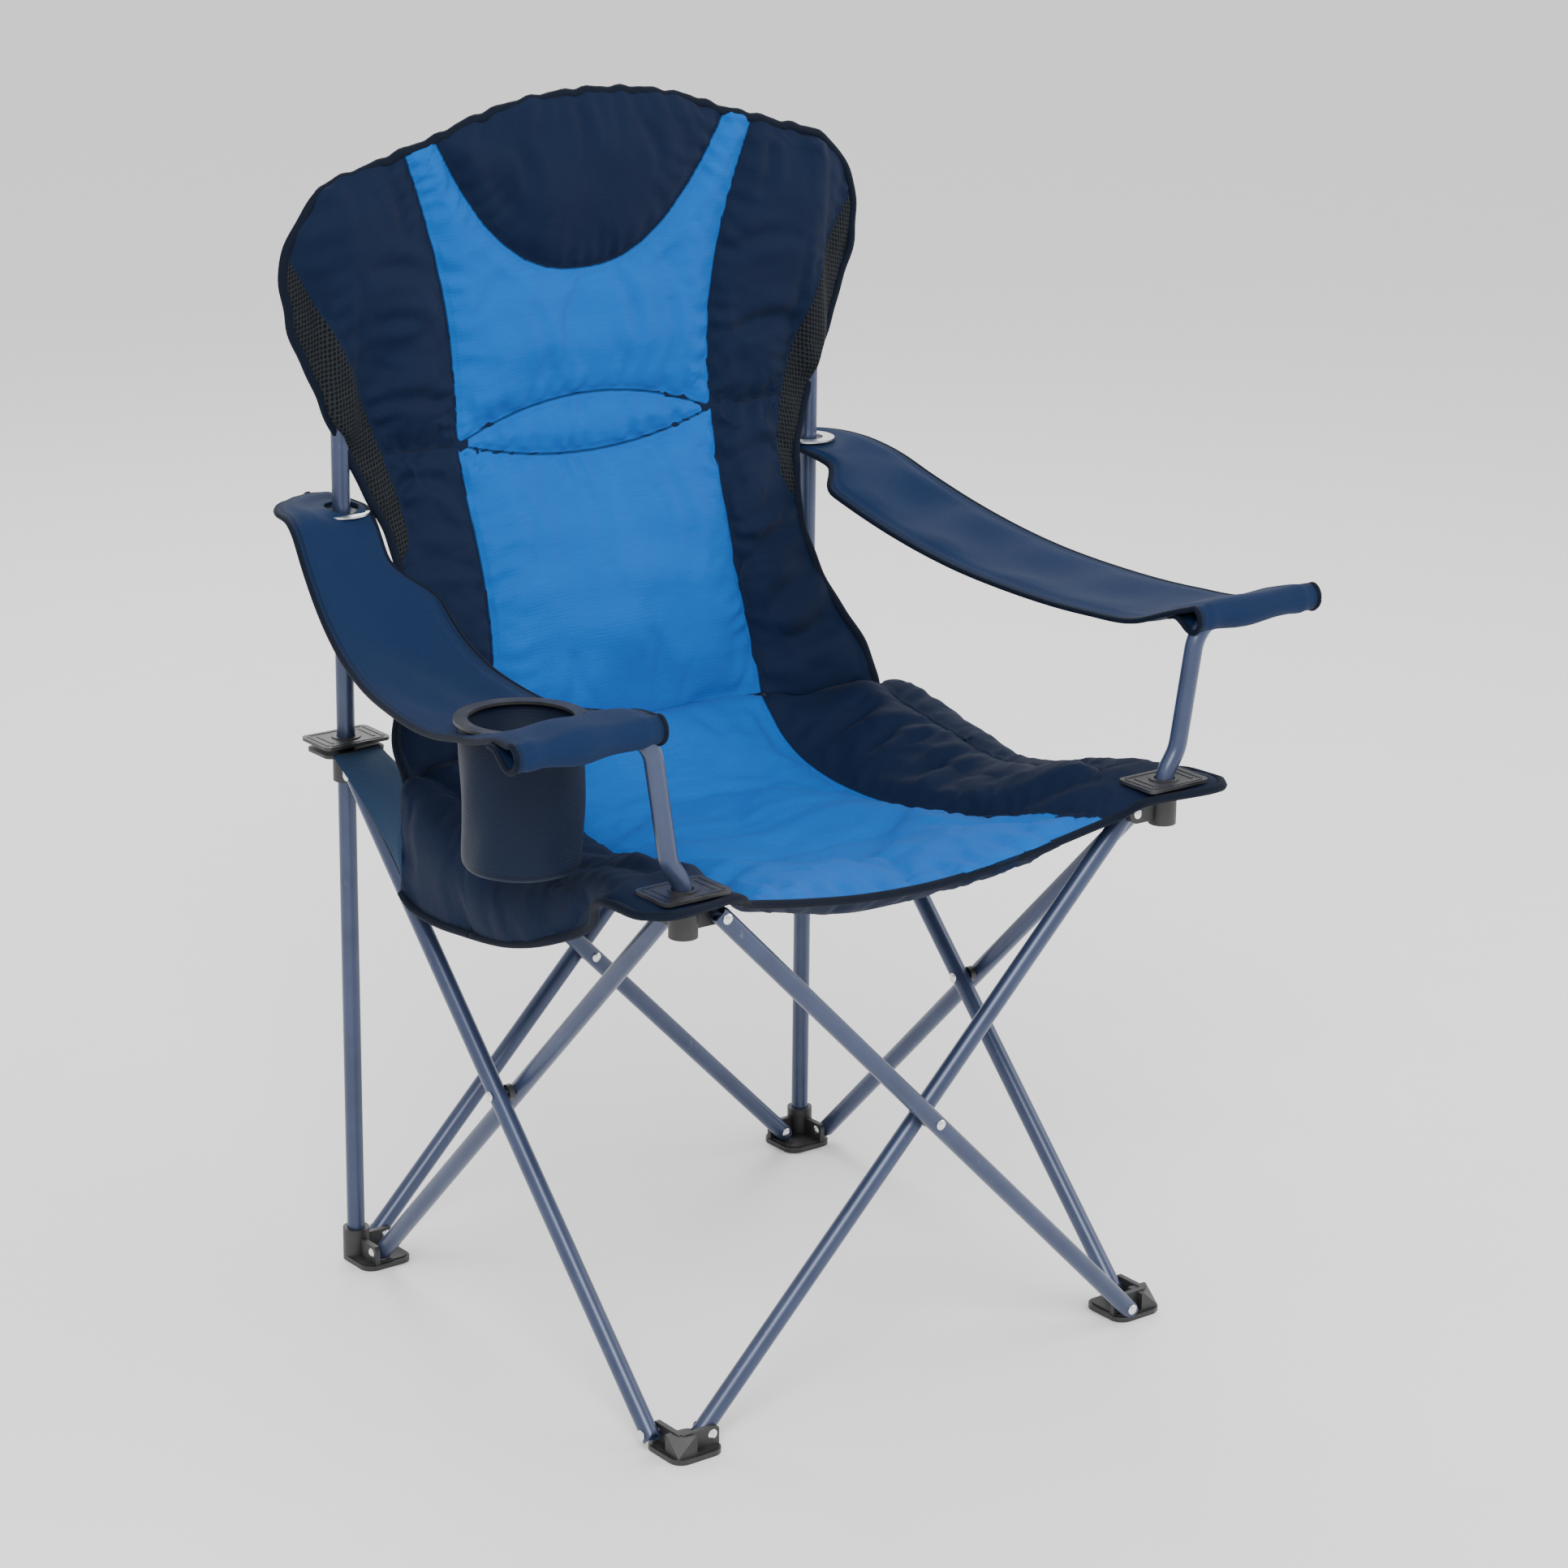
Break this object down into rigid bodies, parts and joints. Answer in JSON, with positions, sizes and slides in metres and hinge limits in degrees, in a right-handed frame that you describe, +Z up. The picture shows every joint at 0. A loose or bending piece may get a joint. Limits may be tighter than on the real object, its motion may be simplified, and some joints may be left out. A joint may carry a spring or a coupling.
{
  "type": "folding camp chair",
  "caption": "Folding camp chair: scissor tube frame on plastic feet, padded seat and tall padded back with mesh wings, sling armrests and a cup holder in the right arm.",
  "frame": {"origin": "on the floor, at the centre of the four feet", "axes": "+Z up, the sitter faces -Y and has +X on the left hand"},
  "size_m": [0.8276, 0.618, 1.041],
  "materials": {
    "tube": "satin",
    "plastic": "matte",
    "rivet": "bright",
    "eyelet": "satin",
    "blue": "woven",
    "navy": "woven",
    "arm": "woven",
    "sleeve": "woven"
  },
  "bodies": {
    "rear_right_leg": {"foot_rr": "plastic", "post_rr": "tube", "post_cap_rr": "plastic", "foot_rivets_rr": "rivet", "back_upper": "blue", "back_lower": "blue", "eyelet_right": "eyelet"},
    "rear_outer_tube": {"tube_rear_outer": "tube", "cross_rivet_rear": "rivet", "spacer_rear": "plastic"},
    "rear_left_slider": {"slider_rl": "plastic", "top_rivets_rl": "rivet", "corner_plate_rl": "plastic"},
    "rear_inner_tube": {"tube_rear_inner": "tube"},
    "rear_right_slider": {"slider_rr": "plastic", "top_rivets_rr": "rivet", "corner_plate_rr": "plastic"},
    "rear_left_leg": {"foot_rl": "plastic", "post_rl": "tube", "post_cap_rl": "plastic", "foot_rivets_rl": "rivet", "eyelet_left": "eyelet"},
    "left_outer_tube": {"tube_left_outer": "tube", "cross_rivet_left": "rivet", "spacer_left": "plastic"},
    "front_left_hub": {"hub_fl": "plastic", "top_rivets_fl": "rivet", "corner_plate_fl": "plastic", "arm_post_fl": "tube", "arm_plug_fl": "plastic"},
    "left_inner_tube": {"tube_left_inner": "tube"},
    "front_left_foot": {"foot_fl": "plastic", "foot_rivets_fl": "rivet"},
    "right_inner_tube": {"tube_right_inner": "tube", "cross_rivet_right": "rivet", "spacer_right": "plastic"},
    "front_right_hub": {"hub_fr": "plastic", "top_rivets_fr": "rivet", "corner_plate_fr": "plastic", "arm_post_fr": "tube", "arm_plug_fr": "plastic"},
    "right_outer_tube": {"tube_right_outer": "tube"},
    "front_right_foot": {"foot_fr": "plastic", "foot_rivets_fr": "rivet"},
    "front_inner_tube": {"tube_front_inner": "tube", "cross_rivet_front": "rivet", "spacer_front": "plastic"},
    "front_outer_tube": {"tube_front_outer": "tube"},
    "seat_rear_half": {"seat_rear": "navy"},
    "seat_front_half": {"seat_front": "blue"},
    "right_arm_front": {"arm_front_right": "arm", "cup_sleeve": "sleeve", "cup_rim": "plastic"},
    "right_arm_rear": {"arm_rear_right": "arm"},
    "left_arm_front": {"arm_front_left": "arm"},
    "left_arm_rear": {"arm_rear_left": "arm"}
  },
  "joints": [
    {"name": "fold", "type": "hinge", "parent": "rear_right_leg", "child": "rear_outer_tube", "pos_m": [-0.223, 0.253, 0.015], "axis": [0, -1, 0], "range_deg": [0, 40], "deforming": ["back_upper", "back_lower"]},
    {"name": "rear_left_slider_turn", "type": "hinge", "parent": "rear_outer_tube", "child": "rear_left_slider", "pos_m": [0.223, 0.253, 0.47], "axis": [0, -1, 0], "range_deg": [-40, 0]},
    {"name": "rear_cross", "type": "hinge", "parent": "rear_outer_tube", "child": "rear_inner_tube", "pos_m": [0, 0.253, 0.2425], "axis": [0, -1, 0], "range_deg": [-80, 0]},
    {"name": "rear_right_slider_turn", "type": "hinge", "parent": "rear_inner_tube", "child": "rear_right_slider", "pos_m": [-0.223, 0.253, 0.47], "axis": [0, -1, 0], "range_deg": [0, 40]},
    {"name": "rear_left_foot_turn", "type": "hinge", "parent": "rear_inner_tube", "child": "rear_left_leg", "pos_m": [0.223, 0.253, 0.015], "axis": [0, -1, 0], "range_deg": [0, 40]},
    {"name": "left_outer_foot", "type": "hinge", "parent": "rear_left_leg", "child": "left_outer_tube", "pos_m": [0.253, 0.223, 0.015], "axis": [-1, 0, 0], "range_deg": [0, 40]},
    {"name": "left_hub_turn", "type": "hinge", "parent": "left_outer_tube", "child": "front_left_hub", "pos_m": [0.253, -0.223, 0.47], "axis": [-1, 0, 0], "range_deg": [-40, 0]},
    {"name": "left_cross", "type": "hinge", "parent": "left_outer_tube", "child": "left_inner_tube", "pos_m": [0.253, 0, 0.2425], "axis": [-1, 0, 0], "range_deg": [-80, 0]},
    {"name": "front_left_foot_turn", "type": "hinge", "parent": "left_inner_tube", "child": "front_left_foot", "pos_m": [0.253, -0.223, 0.015], "axis": [-1, 0, 0], "range_deg": [0, 40]},
    {"name": "right_inner_foot", "type": "hinge", "parent": "rear_right_leg", "child": "right_inner_tube", "pos_m": [-0.253, 0.223, 0.015], "axis": [-1, 0, 0], "range_deg": [0, 40]},
    {"name": "right_hub_turn", "type": "hinge", "parent": "right_inner_tube", "child": "front_right_hub", "pos_m": [-0.253, -0.223, 0.47], "axis": [-1, 0, 0], "range_deg": [-40, 0]},
    {"name": "right_cross", "type": "hinge", "parent": "right_inner_tube", "child": "right_outer_tube", "pos_m": [-0.253, 0, 0.2425], "axis": [-1, 0, 0], "range_deg": [-80, 0]},
    {"name": "front_right_foot_turn", "type": "hinge", "parent": "right_outer_tube", "child": "front_right_foot", "pos_m": [-0.253, -0.223, 0.015], "axis": [-1, 0, 0], "range_deg": [0, 40]},
    {"name": "front_inner_foot", "type": "hinge", "parent": "front_right_foot", "child": "front_inner_tube", "pos_m": [-0.223, -0.253, 0.015], "axis": [0, -1, 0], "range_deg": [0, 40]},
    {"name": "front_cross", "type": "hinge", "parent": "front_inner_tube", "child": "front_outer_tube", "pos_m": [0, -0.253, 0.2425], "axis": [0, -1, 0], "range_deg": [-80, 0]},
    {"name": "seat_rear_fold", "type": "hinge", "parent": "rear_right_slider", "child": "seat_rear_half", "pos_m": [-0.253, 0.253, 0.487], "axis": [1, 0, 0], "range_deg": [0, 77.6], "deforming": ["seat_rear"]},
    {"name": "seat_front_fold", "type": "hinge", "parent": "front_right_hub", "child": "seat_front_half", "pos_m": [-0.253, -0.253, 0.487], "axis": [-1, 0, 0], "range_deg": [0, 77.6], "deforming": ["seat_front"]},
    {"name": "right_arm_front_fold", "type": "hinge", "parent": "front_right_hub", "child": "right_arm_front", "pos_m": [-0.253, -0.253, 0.6323], "axis": [-1, 0, 0], "range_deg": [0, 80.6], "deforming": ["arm_front_right", "cup_sleeve"]},
    {"name": "right_arm_rear_fold", "type": "hinge", "parent": "right_arm_front", "child": "right_arm_rear", "pos_m": [-0.289, 0.06072, 0.60993], "axis": [1, 0, 0], "range_deg": [0, 124.8], "deforming": ["arm_rear_right"]},
    {"name": "left_arm_front_fold", "type": "hinge", "parent": "front_left_hub", "child": "left_arm_front", "pos_m": [0.253, -0.253, 0.6323], "axis": [-1, 0, 0], "range_deg": [0, 82.3], "deforming": ["arm_front_left"]},
    {"name": "left_arm_rear_fold", "type": "hinge", "parent": "left_arm_front", "child": "left_arm_rear", "pos_m": [0.289, 0.06072, 0.63868], "axis": [1, 0, 0], "range_deg": [0, 138.9], "deforming": ["arm_rear_left"]}
  ],
  "couplings": [
    {"joint": "rear_left_slider_turn", "follows": "fold", "ratio": -1},
    {"joint": "rear_cross", "follows": "fold", "ratio": -2},
    {"joint": "rear_right_slider_turn", "follows": "fold", "ratio": 1},
    {"joint": "rear_left_foot_turn", "follows": "fold", "ratio": 1},
    {"joint": "left_outer_foot", "follows": "fold", "ratio": 1},
    {"joint": "left_hub_turn", "follows": "fold", "ratio": -1},
    {"joint": "left_cross", "follows": "fold", "ratio": -2},
    {"joint": "front_left_foot_turn", "follows": "fold", "ratio": 1},
    {"joint": "right_inner_foot", "follows": "fold", "ratio": 1},
    {"joint": "right_hub_turn", "follows": "fold", "ratio": -1},
    {"joint": "right_cross", "follows": "fold", "ratio": -2},
    {"joint": "front_right_foot_turn", "follows": "fold", "ratio": 1},
    {"joint": "front_inner_foot", "follows": "fold", "ratio": 1},
    {"joint": "front_cross", "follows": "fold", "ratio": -2},
    {"joint": "seat_rear_fold", "follows": "fold", "ratio": 1.938},
    {"joint": "seat_front_fold", "follows": "fold", "ratio": 1.938},
    {"joint": "right_arm_front_fold", "follows": "fold", "ratio": 2.0145},
    {"joint": "right_arm_rear_fold", "follows": "fold", "ratio": 3.1197},
    {"joint": "left_arm_front_fold", "follows": "fold", "ratio": 2.0557},
    {"joint": "left_arm_rear_fold", "follows": "fold", "ratio": 3.4711}
  ]
}
